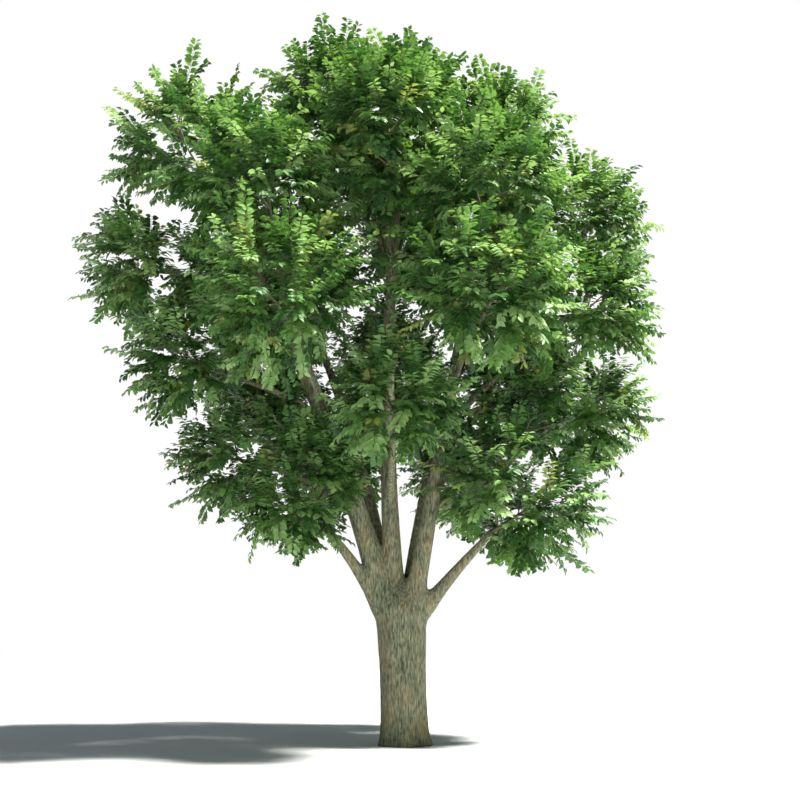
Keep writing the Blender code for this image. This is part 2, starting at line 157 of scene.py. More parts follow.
# Shoots end unevenly, by a share of the way from the ball's middle. They may end so far past the
# sides of the solids' box, and stay that far below its top.
UNEVEN_MEAN = -0.07
UNEVEN_SPREAD = 0.11
UNEVEN_RANGE = (-0.30, 0.16)
SHOOT_BEYOND = np.array((0.03, 0.03, -0.12))

# How twigs fork on the way to the shoots. Their corners are then cut off, by a share of the stretches
# on either side, in a few rounds.
FORK_AT = 0.21
TWIG_RADIUS = 0.0042
TWIG_GROWTH = 0.42
TWIG_TIP_SHARE = 0.5
SHORT_SHOOT_RISE = 0.08
CORNER_CUT = 0.25
CORNER_ROUNDS = 2
TWIG_RINGS = 5
TWIG_SIDES = 3
SEED = 7

# Leaves along the last stretch of each twig, in two ranks, smaller towards the tip.
LEAF_SPACING = 0.050
LEAF_STATIONS = 18
LEAF_FIRST = 0.35
LEAF_BARE_SHARE = 0.04
LEAF_AHEAD = 0.03
TIP_LEAF_SHARE = 0.72
TIP_LEAF_REACH = 0.25

# A leaf's outline: its length and width, the factors by which they vary, how far along it its two
# widths are, and the second as a share of the first. Its faces are numbers of its six points.
LEAF_LENGTH = 0.144
LEAF_LENGTH_FACTORS = (0.78, 1.15)
LEAF_WIDTH_SHARE = 0.58
LEAF_WIDTH_FACTORS = (0.9, 1.1)
LEAF_BROAD_AT = 0.30
LEAF_NARROW_AT = 0.66
LEAF_NARROW_SHARE = 0.82
LEAF_STALK = 0.012
LEAF_FOLD = 0.30
LEAF_DROOP = 0.06
LEAF_FACES = np.array(((0, 1, 2, 3), (0, 3, 4, 5)))

# How a leaf is held: angles from the twig, and how far it strays from them.
LEAF_SPLAY = math.radians(58)
LEAF_SPLAY_SPREAD = 0.22
LEAF_ROLLS = (-0.5, 0.3)
LEAF_SAG = 0.16
LEAF_SAG_FACTORS = (0.4, 1.6)
LEAF_STRAY = 0.12
LEAF_FACE_OUT = 0.6
LEAF_FACE_UP = 0.5
LEAF_FACE_STRAY = 0.24

# Greens of the leaves: a leaf's own, the light's that comes through it, and its share of the twigs.
LEAF_TINTS = {
    "leaves_deep": ((0.026, 0.082, 0.018), (0.055, 0.16, 0.015), 0.24),
    "leaves_green": ((0.060, 0.148, 0.036), (0.11, 0.25, 0.03), 0.26),
    "leaves_fresh": ((0.115, 0.238, 0.066), (0.19, 0.36, 0.05), 0.26),
    "leaves_light": ((0.205, 0.345, 0.125), (0.30, 0.49, 0.10), 0.21),
    "leaves_yellowed": ((0.210, 0.270, 0.080), (0.33, 0.41, 0.07), 0.03),
}
LEAF_THROUGH = 0.22

# The trunk widens into its neck, and its top is rounded off between the stems.
NECK_SWELL = 0.07
NECK_FADE = 0.5
CROTCH_FROM = 1.85
CROTCH_RISE = 0.45
CROTCH_CUT = 0.9
TRUNK_SIDES = 96
TRUNK_RINGS = 120

# The stems' lower parts: slim where they are sunk in the trunk, and flared above its top.
LOWER_TOP = 3.5
STEM_FOOT_SUNK = 0.65
STEM_FLARE = 0.32
STEM_FLARE_FADE = 0.5
LOWER_STEM_SIDES = 32
LOWER_STEM_RINGS = 60
LINE_STEPS = 400

# One skin goes over the trunk and those parts, and is smoothed, most at the fork.
SKIN_VOXEL = 0.017
SKIN_ROUNDING = 0.06
FORK_ROUNDING = 0.46
FORK_ROUNDS = 110
FORK_ABOVE = 0.05
FORK_REACH = 0.5
LAST_ROUNDING = 0.35
LAST_ROUNDS = 2

# How near a limb is to the points of the skin that follow it, and how soon it lets go past its ends.
LIMB_BLEND = 0.05
LIMB_BLEND_MOST = 5
LIMB_OVERLAP = 0.1
LIMB_PAST_WEIGHT = 8

# Limbs above the skin.
LIMB_RING_SPACING = 0.035
STEM_SIDES = 20
LIMB_SIDES = 14
STEM_LAP = 0.02
COLLAR = 0.5
COLLAR_FADE = 0.10

# Relief of the bark: furrows that run along the limb, grain in them, and flutes on the trunk.
FURROWS_PER_METRE = 26
FURROW_STRETCH = 7
FURROW_SHARE = 0.75
FURROW_DEPTH = 0.020
FURROW_DEPTH_SHARE = 0.06
FURROW_MIDDLE = 0.75
FURROW_SEED = 5
WARP = 1.3
WARP_SCALE = np.array((7, 7, 1.6))
WARP_SEED = 3
GRAIN_SCALE = np.array((70, 70, 11))
GRAIN_SEED = 8
FLUTE_DEPTH = 0.018
FLUTE_SCALE = np.array((5, 5, 0.7))
FLUTE_SEED = 21

# Patterns of the bark: cells to a metre, how many times as long they are upright, and detail.
FIBRES = (46, 5.0, 8)
PATCHES = (5.0, 2.4, 5)
GRAIN = (95, 6.5, 3)
MOSS = (20, 1.0, 2)
MOSS_COVER = (14, 1.0, 4)
GRAIN_BUMP = 0.55
GRAIN_DEPTH = 0.006

# Colours of the bark: fine fibres, broad patches, and moss that thins out from the ground up.
FIBRE_COLORS = (
    (0.36, (0.018, 0.018, 0.012)),
    (0.45, (0.095, 0.100, 0.064)),
    (0.56, (0.172, 0.180, 0.114)),
    (0.70, (0.310, 0.320, 0.214)),
)
PATCH_COLORS = (
    (0.38, (0.090, 0.115, 0.060)),
    (0.50, (0.170, 0.165, 0.105)),
    (0.62, (0.250, 0.200, 0.104)),
)
MOSS_COLORS = (
    (0.3, (0.022, 0.034, 0.012)),
    (0.7, (0.055, 0.075, 0.022)),
)
PATCH_SHARE = 0.34
MOSS_TOP = 0.55
MOSS_MOST = 0.75

# Roughness and specular level.
LEAF_FINISH = (0.46, 0.35)
BARK_FINISH = (0.88, 0.25)
FLOOR_FINISH = (0.9, 0.5)

# Floor, sky and sun.
FLOOR_COLOR = (0.56, 0.58, 0.60)
FLOOR_REACH = 120
SKY_COLOR = (0.86, 0.94, 1.0)
SKY_STRENGTH = 0.28
BACKDROP_COLOR = (1.0, 1.0, 1.0)
SUN_COLOR = (1.0, 0.965, 0.88)
SUN_ENERGY = 17.0
SUN_ANGLE = math.radians(9)
SUN_LEAN = math.radians(31)
SUN_TURN = math.radians(72)

# Factors that scatter the corners of the noise's cells.
HASH_FACTORS = np.array((73856093, 19349663, 83492791))
HASH_SEED = 2654435
HASH_MIX = 1274126177
HASH_SHIFTS = (13, 16)
HASH_TOP = 0xFFFF

# Small amounts that keep a direction sure: from a ball's middle, beside an upright twig, and for
# the upper side of one.
MIDDLE_GUARD = 1e-6
SIDE_GUARD = 1e-4
LIFT_GUARD = 1e-9

# Straight up, and a nearly level way that the sides of tubes are set from.
UP = np.array((0.0, 0.0, 1.0))
SIDEWAYS = np.array((0.31, 0.95, 0.07))


def unit(vector):
    return vector / np.linalg.norm(vector)


def units(vectors):
    return vectors / np.linalg.norm(vectors, axis=-1, keepdims=True)


def polar(azimuth, lean):
    """The direction that leans this far from upright towards this azimuth, both in degrees."""
    a, b = math.radians(azimuth), math.radians(lean)
    return np.array((math.sin(b) * math.cos(a), math.sin(b) * math.sin(a), math.cos(b)))


class Bow:
    """A limb's line: it leaves start along heading, holds that for a while, and bends to end."""

    def __init__(self, start, heading, hold, end, root, tip):
        self.start = start
        self.elbow = start + heading * hold
        self.end = end
        self.root = root
        self.tip = tip

    def at(self, t):
        t = np.asarray(t, float)[..., None]
        return (1 - t) ** 2 * self.start + 2 * t * (1 - t) * self.elbow + t**2 * self.end

    def heading(self, t):
        t = np.asarray(t, float)[..., None]
        return units((1 - t) * (self.elbow - self.start) + t * (self.end - self.elbow))

    def radius(self, t):
        return self.root + (self.tip - self.root) * np.asarray(t, float) ** TAPER_POWER

    def clear_of(self, points, samples=40):
        """How far each point is from the limb's surface."""
        steps = np.linspace(0, 1, samples)
        apart = np.linalg.norm(points[:, None] - self.at(steps)[None], axis=2)
        return (apart - self.radius(steps)).min(axis=1)


def ball(name):
    *middle, reach = MASSES[name]
    return np.array(middle), reach


def walls(name):
    """The planes between this mass and its neighbours: unit normals, and distances from the origin."""
    middle, reach = ball(name)
    normals, distances = [], []
    for other in MASSES:
        if other == name:
            continue
        there, their_reach = ball(other)
        apart = np.linalg.norm(there - middle)
        share = (apart**2 + reach**2 - their_reach**2) / (2 * apart)
        if share < reach:
            normals.append((there - middle) / apart)
            distances.append(normals[-1] @ middle + share)
    return np.array(normals), np.array(distances)


def limb_end(name, source):
    """Where a mass's limb ends: on the side of its source, just inside the mass's own space."""
    middle, reach = ball(name)
    normals, distances = walls(name)
    towards = unit(source - middle)
    speed = normals @ towards
    room = distances - normals @ middle
    facing = speed > 0
    depth = LIMB_END_SHARE * reach
    if facing.any():
        depth = min(depth, (room[facing] / speed[facing]).min() - LIMB_END_INSIDE)
    return middle + towards * depth


def stem_lines():
    lines = {}
    for name, (azimuth, lean, hold, root, tip, out) in STEMS.items():
        heading = polar(azimuth, lean)
        start = np.array((*TRUNK_SHIFT, STEM_FOOT_HEIGHT)) + polar(azimuth, 90) * out
        end = limb_end(name, start + heading * hold)
        lines[name] = Bow(start, heading, hold, end, root, tip)
    return lines


def side_lines(stems):
    lines = {}
    for name, (carrier, fraction) in SIDE_LIMBS.items():
        stem = stems[carrier]
        start = stem.at(fraction)
        end = limb_end(name, start)
        heading = unit(unit(end - start) + np.array((0, 0, LIMB_RISE)))
        hold = LIMB_HOLD * np.linalg.norm(end - start)
        root = max(LIMB_ROOT_SHARE * stem.radius(fraction), LIMB_LEAST_TAPER * LIMB_TIP_RADIUS)
        lines[name] = Bow(start, heading, hold, end, root, LIMB_TIP_RADIUS)
    return lines


def noise(points, seed):
    """Smooth value noise from 0 to 1 with one value a unit cell."""
    cell = np.floor(points).astype(np.int64)
    part = points - cell
    part = part * part * (3 - 2 * part)
    total = np.zeros(len(points))
    for corner in np.ndindex(2, 2, 2):
        at = (cell + np.array(corner)) * HASH_FACTORS
        mixed = at[:, 0] ^ at[:, 1] ^ at[:, 2] ^ (seed * HASH_SEED)
        mixed = (mixed ^ (mixed >> HASH_SHIFTS[0])) * HASH_MIX
        value = ((mixed ^ (mixed >> HASH_SHIFTS[1])) & HASH_TOP) / HASH_TOP
        weight = np.where(np.array(corner), part, 1 - part).prod(axis=1)
        total += value * weight
    return total


def furrows(points):
    """Bark height from 0 in a furrow to 1 on a ridge. The third coordinate runs along the limb."""
    scale = np.array((FURROWS_PER_METRE, FURROWS_PER_METRE, FURROWS_PER_METRE / FURROW_STRETCH))
    warp = noise(points * WARP_SCALE, WARP_SEED)[:, None] - 0.5
    ridges = 1 - np.abs(2 * noise(points * scale + warp * WARP, FURROW_SEED) - 1)
    grain = noise(points * GRAIN_SCALE, GRAIN_SEED)
    return FURROW_SHARE * np.sqrt(np.clip(ridges, 0, 1)) + (1 - FURROW_SHARE) * grain


def limb_relief(spots, radii):
    """How far the bark stands off a limb, no deeper than a share of the limb's radius."""
    depth = np.minimum(FURROW_DEPTH, FURROW_DEPTH_SHARE * radii)
    return depth * (furrows(spots) - FURROW_MIDDLE)


def new_mesh_object(name, points, faces, material, smooth=True):
    mesh = bpy.data.meshes.new(name)
    faces = np.asarray(faces)
    count, sides = faces.shape
    mesh.vertices.add(len(points))
    mesh.vertices.foreach_set("co", np.asarray(points, np.float32).ravel())
    mesh.loops.add(count * sides)
    mesh.loops.foreach_set("vertex_index", faces.astype(np.int32).ravel())
    mesh.polygons.add(count)
    mesh.polygons.foreach_set("loop_start", np.arange(0, count * sides, sides, dtype=np.int32))
    mesh.update(calc_edges=True)
    mesh.validate()
    if smooth:
        mesh.shade_smooth()
    mesh.materials.append(material)
    obj = bpy.data.objects.new(name, mesh)
    bpy.context.scene.collection.objects.link(obj)
    return obj


def read(items, attribute, size, kind):
    """An attribute of all of a mesh's points or edges, one row each."""
    values = np.empty(len(items) * size, kind)
    items.foreach_get(attribute, values)
    return values.reshape(-1, size)


def place(mesh, points):
    mesh.vertices.foreach_set("co", points.astype(np.float32).ravel())
    mesh.update()


def ring_faces(rings, sides):
    """The quads between each ring of points and the next."""
    faces = []
    for i in range(rings - 1):
        lower = i * sides + np.arange(sides)
        upper = lower + sides
        faces.append(np.stack([lower, np.roll(lower, -1), np.roll(upper, -1), upper], 1))
    return np.concatenate(faces)


def ring_frames(middles, headings):
    """Two unit vectors across each heading, turned as little as can be from one to the next."""
    across = np.empty_like(middles)
    last = SIDEWAYS
    for i in range(len(middles) - 1, -1, -1):
        last = unit(last - headings[i] * (headings[i] @ last))
        across[i] = last
    return across, np.cross(across, headings)


def tube(middles, headings, radii, sides, relief=None):
    """Points and quads of a round tube. relief takes spots on it and their radii, and adds to those."""
    across, other = ring_frames(middles, headings)
    turns = 2 * np.pi * np.arange(sides) / sides
    cosine, sine = np.cos(turns), np.sin(turns)
    round_way = across[:, None] * cosine[None, :, None] + other[:, None] * sine[None, :, None]
    out = np.repeat(np.asarray(radii)[:, None], sides, axis=1)
    if relief is not None:
        along = np.concatenate([[0], np.cumsum(np.linalg.norm(np.diff(middles, axis=0), axis=1))])
        spots = np.stack([out * cosine, out * sine, np.repeat(along[:, None], sides, axis=1)], -1)
        out = out + relief(spots.reshape(-1, 3), out.reshape(-1)).reshape(out.shape)
    points = middles[:, None] + round_way * out[..., None]
    return points.reshape(-1, 3), ring_faces(len(middles), sides)


def capped(points, faces, sides):
    """Closes a tube with a fan of quads at each end, through a middle point."""
    first, last = len(points), len(points) + 1
    start = points[:sides].mean(axis=0)
    end = points[-sides:].mean(axis=0)
    base = len(points) - sides
    quads = []
    for i in range(0, sides, 2):
        a, b, c = i, (i + 1) % sides, (i + 2) % sides
        quads.append((first, c, b, a))
        quads.append((last, base + a, base + b, base + c))
    return np.concatenate([points, [start, end]]), np.concatenate([faces, quads])


def joined(pieces):
    """One set of points and faces from several."""
    points, faces, count = [], [], 0
    for piece_points, piece_faces in pieces:
        points.append(piece_points)
        faces.append(piece_faces + count)
        count += len(piece_points)
    return np.concatenate(points), np.concatenate(faces)


def trunk_tube():
    """The trunk from its flat cut to the fork, with its root flare."""
    height = (TRUNK_TOP + CROTCH_RISE) * np.linspace(0, 1, TRUNK_RINGS)
    flare = np.exp(-height / FLARE_HEIGHT)
    radius = WAIST_RADIUS + (FOOT_RADIUS - WAIST_RADIUS) * flare
    radius += NECK_SWELL * np.exp(-np.abs(height - TRUNK_TOP) / NECK_FADE)
    dome = np.clip((height - CROTCH_FROM) / (TRUNK_TOP + CROTCH_RISE - CROTCH_FROM), 0, 1)
    radius *= np.sqrt(1 - CROTCH_CUT * dome**2)
    share = np.minimum(height / TRUNK_TOP, 1)
    turns = 2 * np.pi * np.arange(TRUNK_SIDES) / TRUNK_SIDES
    lobes = 1 + ROOT_SWELL * flare[:, None] * np.cos(ROOT_LOBES * turns + ROOT_TURN)[None]
    out = radius[:, None] * lobes
    points = np.stack([
        TRUNK_SHIFT[0] * share[:, None] + out * np.cos(turns)[None],
        TRUNK_SHIFT[1] * share[:, None] + out * np.sin(turns)[None],
        np.repeat(height[:, None], TRUNK_SIDES, axis=1),
    ], -1).reshape(-1, 3)
    return capped(points, ring_faces(TRUNK_RINGS, TRUNK_SIDES), TRUNK_SIDES)


def lower_stem_tube(line):
    """A stem's part that goes under the skin, and the fraction of its length where that ends."""
    steps = np.linspace(0, 1, LINE_STEPS)
    heights = line.at(steps)[:, 2]
    last = steps[min(np.searchsorted(heights, LOWER_TOP), len(steps) - 1)]
    along = np.linspace(0, last, LOWER_STEM_RINGS)
    above = line.at(along)[:, 2] - TRUNK_TOP
    sunk = 1 - STEM_FOOT_SUNK * np.clip(-above / (TRUNK_TOP - STEM_FOOT_HEIGHT), 0, 1)
    flared = 1 + STEM_FLARE * np.exp(-np.clip(above, 0, None) / STEM_FLARE_FADE)
    radii = line.radius(along) * flared * sunk
    points, faces = tube(line.at(along), line.heading(along), radii, LOWER_STEM_SIDES)
    return capped(points, faces, LOWER_STEM_SIDES), last


def remeshed(obj, voxel):
    """Gives the object one closed skin in place of its crossing tubes."""
    modifier = obj.modifiers.new("remesh", "REMESH")
    modifier.mode = "VOXEL"
    modifier.voxel_size = voxel
    bpy.context.view_layer.update()
    graph = bpy.context.evaluated_depsgraph_get()
    mesh = bpy.data.meshes.new_from_object(obj.evaluated_get(graph))
    obj.modifiers.clear()
    old = obj.data
    obj.data = mesh
    bpy.data.meshes.remove(old)


def smoothed(points, edges, weight, rounds):
    """Moves each point towards the mean of its neighbours, by its own weight, in some rounds."""
    count = np.bincount(edges.ravel(), minlength=len(points))[:, None]
    for _ in range(rounds):
        total = np.zeros_like(points)
        np.add.at(total, edges[:, 0], points[edges[:, 1]])
        np.add.at(total, edges[:, 1], points[edges[:, 0]])
        points = points + (total / np.maximum(count, 1) - points) * weight[:, None]
    return points


def nearness(outside, past):
    """A limb's weight for points this far outside it, less where they are past its own heights."""
    outside = outside + LIMB_PAST_WEIGHT * np.clip(past, 0, None)
    return np.exp(-np.clip(outside, -LIMB_BLEND, LIMB_BLEND_MOST) / LIMB_BLEND)


def around_limbs(points, stems):
    """The middle and radius of the limb that each point lies round, blended where limbs meet."""
    share = np.clip(points[:, 2] / TRUNK_TOP, 0, 1)
    centre = np.stack([TRUNK_SHIFT[0] * share, TRUNK_SHIFT[1] * share], -1)
    outside = np.linalg.norm(points[:, :2] - centre, axis=1) - WAIST_RADIUS
    weights = [nearness(outside, points[:, 2] - TRUNK_TOP + LIMB_OVERLAP)]
    middles = [centre]
    widths = [np.full(len(points), WAIST_RADIUS)]
    for line in stems.values():
        steps = np.linspace(0, 1, LINE_STEPS)
        t = np.interp(points[:, 2], line.at(steps)[:, 2], steps)
        middle = line.at(t)
        outside = np.linalg.norm(points - middle, axis=1) - line.radius(t)
        weights.append(nearness(outside, TRUNK_TOP - LIMB_OVERLAP - points[:, 2]))
        middles.append(middle[:, :2])
        widths.append(line.radius(t))
    weights = np.array(weights)
    weights /= weights.sum(axis=0)
    centre = (weights[..., None] * np.array(middles)).sum(axis=0)
    width = (weights * np.array(widths)).sum(axis=0)
    return centre, width


def lower_bark(stems, material):
    """Trunk and the stems' lower parts as one skin, rounded into each other, with the bark's relief."""
    pieces = [trunk_tube()]
    lasts = {}
    for name, line in stems.items():
        piece, lasts[name] = lower_stem_tube(line)
        pieces.append(piece)
    obj = new_mesh_object("bark_trunk", *joined(pieces), material)
    remeshed(obj, SKIN_VOXEL)
    mesh = obj.data
    points = read(mesh.vertices, "co", 3, np.float32).astype(float)
    edges = read(mesh.edges, "vertices", 2, np.int32)

    # Round the fork, where the stems leave the trunk and each other.
    fork = np.exp(-((points[:, 2] - TRUNK_TOP - FORK_ABOVE) / FORK_REACH) ** 2)
    points = smoothed(points, edges, SKIN_ROUNDING + FORK_ROUNDING * fork, FORK_ROUNDS)
    points = smoothed(points, edges, np.full(len(points), LAST_ROUNDING), LAST_ROUNDS)
    place(mesh, points)
    normals = read(mesh.vertices, "normal", 3, np.float32)

    # Spots are taken from the limb's own middle, so that furrows run along the limb.
    centre, width = around_limbs(points, stems)
    spots = np.concatenate([points[:, :2] - centre, points[:, 2:]], axis=1)
    flutes = noise(spots * FLUTE_SCALE, FLUTE_SEED) - 0.5
    lift = limb_relief(spots, width) + FLUTE_DEPTH * flutes * np.clip(width / WAIST_RADIUS, 0, 1)
    points = points + normals * lift[:, None]
    points[:, 2] = np.maximum(points[:, 2], 0)
    place(mesh, points)
    mesh.shade_smooth()
    return obj, lasts


def upper_bark(stems, sides, lasts, material):
    """The stems above the skin of the trunk, and the side limbs, as tubes with the bark's relief."""
    pieces = []
    for name, line in stems.items():
        length = np.linalg.norm(line.elbow - line.start) + np.linalg.norm(line.end - line.elbow)
        along = np.linspace(lasts[name] - STEM_LAP, 1, int(length / LIMB_RING_SPACING))
        radii = line.radius(along)
        pieces.append(tube(line.at(along), line.heading(along), radii, STEM_SIDES, limb_relief))
    for line in sides.values():
        length = np.linalg.norm(line.end - line.start)
        along = np.linspace(0, 1, int(length / LIMB_RING_SPACING))
        collar = 1 + COLLAR * np.exp(-along * length / COLLAR_FADE)
        radii = line.radius(along) * collar
        pieces.append(tube(line.at(along), line.heading(along), radii, LIMB_SIDES, limb_relief))
    return new_mesh_object("bark_boughs", *joined(pieces), material)


class Space:
    """A mass's room: its ball, drawn out inwards, on its own side of each wall and clear of limbs."""

    def __init__(self, name, limbs):
        self.middle, self.reach = ball(name)
        self.normals, self.distances = walls(name)
        self.inwards = unit(CROWN_MIDDLE - self.middle)
        self.limbs = [line for line in limbs if line.clear_of(self.middle[None])[0] < self.reach]

    def holds(self, points, margin):
        out = points - self.middle
        apart = np.linalg.norm(out, axis=1)
        inwards = np.clip(out @ self.inwards / np.maximum(apart, MIDDLE_GUARD), 0, 1)
        inside = apart < self.reach * (1 + INWARD_REACH * inwards) - margin
        return inside & (points @ self.normals.T < self.distances - margin).all(axis=1)

    def clear(self, points, margin):
        found = np.ones(len(points), bool)
        for line in self.limbs:
            found &= line.clear_of(points) > margin
        return found


def shoot_ends(space, foot, rng):
    """Points in the space, each chosen as far as it can be from the foot and the rest, then uneven."""
    # The cube root spreads the tries evenly through the ball.
    ways = units(rng.normal(size=(SHOOT_TRIES, 3)))
    depths = rng.uniform(SHOOT_LEAST_DEPTH, 1, (SHOOT_TRIES, 1)) ** (1 / 3)
    tries = space.middle + ways * depths * space.reach * (1 + INWARD_REACH)
    tries = tries[space.holds(tries, SHOOT_WALL_MARGIN) & space.clear(tries, SHOOT_LIMB_CLEARANCE)]
    outwards = np.linalg.norm(tries - CROWN_MIDDLE, axis=1)
    outer = outwards > np.linalg.norm(space.middle - CROWN_MIDDLE) - INNER_SHARE * space.reach
    tries, outwards = tries[outer], outwards[outer]
    nearest = np.linalg.norm(tries - foot, axis=1)
    chosen = [outwards.argmax()]
    while len(chosen) < SHOOTS:
        nearest = np.minimum(nearest, np.linalg.norm(tries - tries[chosen[-1]], axis=1))
        chosen.append(nearest.argmax())
    uneven = 1 + np.clip(rng.normal(UNEVEN_MEAN, UNEVEN_SPREAD, (SHOOTS, 1)), *UNEVEN_RANGE)
    ends = space.middle + (tries[chosen] - space.middle) * uneven
    lowest, highest = np.array(CAD_BOX)
    return np.clip(ends, lowest - SHOOT_BEYOND, highest + SHOOT_BEYOND)


def parted(ends):
    """The ends in two halves, across the way that they spread the most."""
    offsets = ends - ends.mean(axis=0)
    longest = np.linalg.svd(offsets, full_matrices=False)[2][0]
    order = np.argsort(offsets @ longest)
    half = len(order) // 2
    return ends[order[:half]], ends[order[half:]]


def branch(axis, heading, ends, found):
    """Carries an axis, a list of (point, radius), on to its ends. Each fork starts one more axis."""
    if len(ends) == 1:
        found.append((axis, ends[0]))
        return
    start = axis[-1][0]
    away = ends.mean(axis=0) - start
    fork = start + (away + heading * np.linalg.norm(away)) * FORK_AT / 2
    radius = TWIG_RADIUS * len(ends) ** TWIG_GROWTH
    axis.append((fork, radius))
    halves = parted(ends)
    turns = [unit(half.mean(axis=0) - fork) for half in halves]
    heading = unit(fork - start)
    on = int(turns[1] @ heading > turns[0] @ heading)
    off = 1 - on
    branch(axis, heading, halves[on], found)
    root = TWIG_RADIUS * len(halves[off]) ** TWIG_GROWTH
    branch([(fork, root)], unit(turns[off] + heading), halves[off], found)


def path_length(points):
    return np.linalg.norm(np.diff(points, axis=0), axis=1).sum()


def along_path(points, radii, wanted):
    """Places and radii at these distances back from the path's end."""
    steps = np.linalg.norm(np.diff(points, axis=0), axis=1)
    back = np.concatenate([[0], np.cumsum(steps[::-1])])
    flipped = points[::-1]
    places = np.stack([np.interp(wanted, back, flipped[:, k]) for k in range(3)], -1)
    return places, np.interp(wanted, back, radii[::-1])


def corners_cut(values):
    """A path's points or radii, with two in place of each between its ends."""
    kept = 1 - CORNER_CUT
    a, b = values[:-1], values[1:]
    pairs = np.stack([kept * a + CORNER_CUT * b, CORNER_CUT * a + kept * b], 1)
    inner = pairs.reshape(-1, *values.shape[1:])[1:-1]
    return np.concatenate([values[:1], inner, values[-1:]])


def rounded_path(points, radii):
    """A twig's path and radii without its sharp corners."""
    for _ in range(CORNER_ROUNDS):
        points, radii = corners_cut(points), corners_cut(radii)
    return points, radii


def grow(lines, rng):
    """Every twig's path, radii, and its mass's middle."""
    twigs = []
    for name in MASSES:
        space = Space(name, lines.values())
        line = lines[name]
        ends = shoot_ends(space, line.end, rng)
        axes = []
        branch([(line.end, line.tip)], line.heading(1), ends, axes)
        for axis, tip in axes:
            points = np.array([point for point, _ in axis] + [tip])
            radii = np.array([radius for _, radius in axis] + [TWIG_RADIUS * TWIG_TIP_SHARE])
            if len(points) == 2:
                # A short shoot bows a little upwards.
                rise = SHORT_SHOOT_RISE * np.linalg.norm(points[1] - points[0])
                middle = points.mean(axis=0) + UP * rise
                points = np.array([points[0], middle, points[1]])
                radii = np.array([radii[0], radii.mean(), radii[1]])
            points, radii = rounded_path(points, radii)
            twigs.append((points, radii, space.middle))
    return twigs


def twig_mesh(twigs):
    """Three-sided tubes along all the twigs, worked out together."""
    places = np.empty((len(twigs), TWIG_RINGS, 3))
    radii = np.empty((len(twigs), TWIG_RINGS))
    for i, (points, sizes, _) in enumerate(twigs):
        wanted = path_length(points) * np.linspace(1, 0, TWIG_RINGS)
        places[i], radii[i] = along_path(points, sizes, wanted)
    headings = units(np.gradient(places, axis=1))
    across = units(np.cross(headings, SIDEWAYS))
    other = np.cross(across, headings)
    turns = 2 * np.pi * np.arange(TWIG_SIDES) / TWIG_SIDES
    ring = across[:, :, None] * np.cos(turns)[:, None] + other[:, :, None] * np.sin(turns)[:, None]
    points = places[:, :, None] + ring * radii[..., None, None]
    index = np.arange(points.size // 3).reshape(points.shape[:3])
    lower, upper = index[:, :-1], index[:, 1:]
    quads = np.stack([lower, np.roll(lower, -1, 2), np.roll(upper, -1, 2), upper], -1)
    return points.reshape(-1, 3), quads.reshape(-1, 4)


def leaf_stations(twigs):
    """Where leaves leave the twigs: place, heading there, twig's number, way out and leaf's size."""
    places, headings, owners, outs, sizes = [], [], [], [], []
    for i, (points, radii, middle) in enumerate(twigs):
        back = LEAF_SPACING * (np.arange(LEAF_STATIONS) + LEAF_FIRST)
        back = back[back < (1 - LEAF_BARE_SHARE) * path_length(points)]
        if len(back) == 0:
            continue
        here, _ = along_path(points, radii, back)
        ahead, _ = along_path(points, radii, np.maximum(back - LEAF_AHEAD, 0))
        places.append(here)
        headings.append(units(ahead - here))
        owners.append(np.full(len(back), i))
        outs.append(units(here - middle))
        sizes.append(TIP_LEAF_SHARE + (1 - TIP_LEAF_SHARE) * np.clip(back / TIP_LEAF_REACH, 0, 1))
    return [np.concatenate(values) for values in (places, headings, owners, outs, sizes)]


def leaf_mesh(places, headings, outs, sizes, rng):
    """Two leaves at each station: six points and two quads each, folded along the rib."""
    count = len(places)
    side = units(np.cross(headings, UP) + SIDE_GUARD)
    lift = np.cross(side, headings)
    lift *= np.sign(lift[:, 2:3] + LIFT_GUARD)
    leaves = []
    for way in (-1, 1):
        roll = rng.uniform(*LEAF_ROLLS, (count, 1))
        splay = LEAF_SPLAY + rng.normal(0, LEAF_SPLAY_SPREAD, (count, 1))
        aside = side * way * np.cos(roll) + lift * np.sin(roll)
        out = headings * np.cos(splay) + aside * np.sin(splay)
        sag = UP * rng.uniform(*LEAF_SAG_FACTORS, (count, 1)) * LEAF_SAG
        out = units(out - sag + rng.normal(0, LEAF_STRAY, (count, 3)))
        face = lift + LEAF_FACE_OUT * outs + UP * LEAF_FACE_UP + rng.normal(0, LEAF_FACE_STRAY, (count, 3))
        across = units(np.cross(out, face))
        normal = np.cross(across, out)
        length = LEAF_LENGTH * sizes[:, None] * rng.uniform(*LEAF_LENGTH_FACTORS, (count, 1))
        half = length * LEAF_WIDTH_SHARE / 2 * rng.uniform(*LEAF_WIDTH_FACTORS, (count, 1))
        root = places + out * LEAF_STALK
        broad = root + out * length * LEAF_BROAD_AT
        narrow = root + out * length * LEAF_NARROW_AT
        rise = normal * (half * LEAF_FOLD)
        droop = -normal * length * LEAF_DROOP
        leaves.append(np.stack([
            root,
            broad - across * half + rise,
            narrow - across * half * LEAF_NARROW_SHARE + rise + droop,
            root + out * length + droop * 2,
            narrow + across * half * LEAF_NARROW_SHARE + rise + droop,
            broad + across * half + rise,
        ], 1))
    points = np.concatenate(leaves)
    first = points.shape[1] * np.arange(len(points))[:, None, None]
    return points.reshape(-1, 3), (first + LEAF_FACES).reshape(-1, 4)


def principled(name, roughness, specular):
    material = bpy.data.materials.new(name)
    material.use_nodes = True
    shader = material.node_tree.nodes["Principled BSDF"]
    shader.inputs["Roughness"].default_value = roughness
    shader.inputs["Specular IOR Level"].default_value = specular
    return material, material.node_tree, shader


